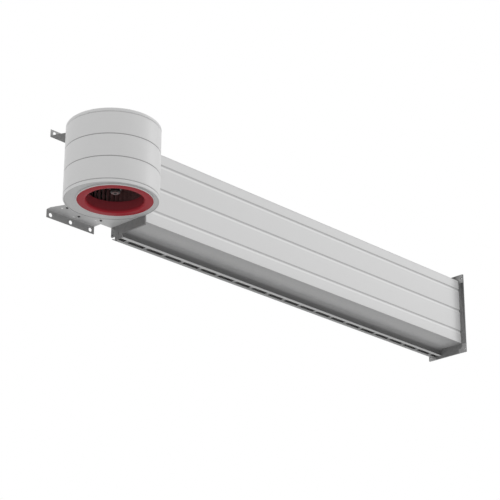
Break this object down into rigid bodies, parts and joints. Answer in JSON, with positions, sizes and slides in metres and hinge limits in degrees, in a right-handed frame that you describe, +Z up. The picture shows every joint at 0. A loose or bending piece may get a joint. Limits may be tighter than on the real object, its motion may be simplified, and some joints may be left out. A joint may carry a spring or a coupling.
{
  "type": "air curtain",
  "caption": "Wall-hung industrial air curtain with a round fan drum, a red inlet ring and a long duct that blows down through a slotted nozzle",
  "frame": {"origin": "The middle hole of the lower wall flange, on the wall face.", "axes": "+X runs along the duct away from the fan, +Y points into the wall, +Z is up."},
  "size_m": [3.554, 0.643, 0.616],
  "materials": {
    "white_paint": "satin",
    "red_paint": "gloss",
    "galvanised_sheet": "satin",
    "fan_sheet": "satin",
    "zinc_steel": "satin",
    "bright_steel": "polished",
    "dark_steel": "satin",
    "motor_casting": "satin",
    "core_steel": "rough",
    "grey_plastic": "matte",
    "black_plastic": "matte"
  },
  "bodies": {
    "housing": {"drum_bottom_rim": "white_paint", "drum_lower_band": "white_paint", "drum_middle_band": "white_paint", "drum_upper_band": "white_paint", "drum_top_rim": "white_paint", "drum_top_cover": "galvanised_sheet", "bottom_ring_plate": "galvanised_sheet", "base_plate": "galvanised_sheet", "upper_wall_bracket": "galvanised_sheet", "inlet_ring": "red_paint", "neck_rear_wall": "white_paint", "cutoff_tongue": "galvanised_sheet", "drum_clips": "galvanised_sheet", "plate_screws": "dark_steel", "cover_screws": "zinc_steel", "bracket_bolts": "zinc_steel", "motor_mount_plate": "galvanised_sheet", "motor_posts": "zinc_steel", "motor_bolts": "zinc_steel", "motor_top_shield": "motor_casting", "motor_body": "motor_casting", "motor_bottom_shield": "motor_casting", "stator_core": "core_steel", "upper_bearing": "bright_steel", "lower_bearing": "bright_steel", "terminal_box": "grey_plastic", "terminal_box_lid": "grey_plastic", "cable_gland": "black_plastic", "near_flange": "galvanised_sheet", "near_corner_plates": "galvanised_sheet", "neck_bolts": "zinc_steel", "duct_front_panel": "white_paint", "duct_top_panel": "white_paint", "duct_rear_panel": "galvanised_sheet", "duct_bottom_plate": "galvanised_sheet", "nozzle_front_lip": "galvanised_sheet", "nozzle_rear_lip": "galvanised_sheet", "nozzle_bridges_near": "galvanised_sheet", "nozzle_bridges_far": "galvanised_sheet", "nozzle_end_plate": "galvanised_sheet", "far_flange": "galvanised_sheet", "far_corner_plates": "galvanised_sheet", "end_cap": "galvanised_sheet", "end_cap_screws": "zinc_steel"},
    "rotor": {"motor_shaft": "bright_steel", "rotor_core": "core_steel", "impeller_hub": "fan_sheet", "impeller_back_plate": "fan_sheet", "impeller_blades": "fan_sheet", "impeller_front_ring": "fan_sheet", "hub_rivets": "zinc_steel", "hub_washer": "zinc_steel", "hub_bolt": "dark_steel"}
  },
  "joints": [
    {"name": "impeller_spin", "type": "hinge", "parent": "housing", "child": "rotor", "pos_m": [-0.011, -0.4, 0.067], "axis": [0, 0, 1], "continuous": true}
  ]
}
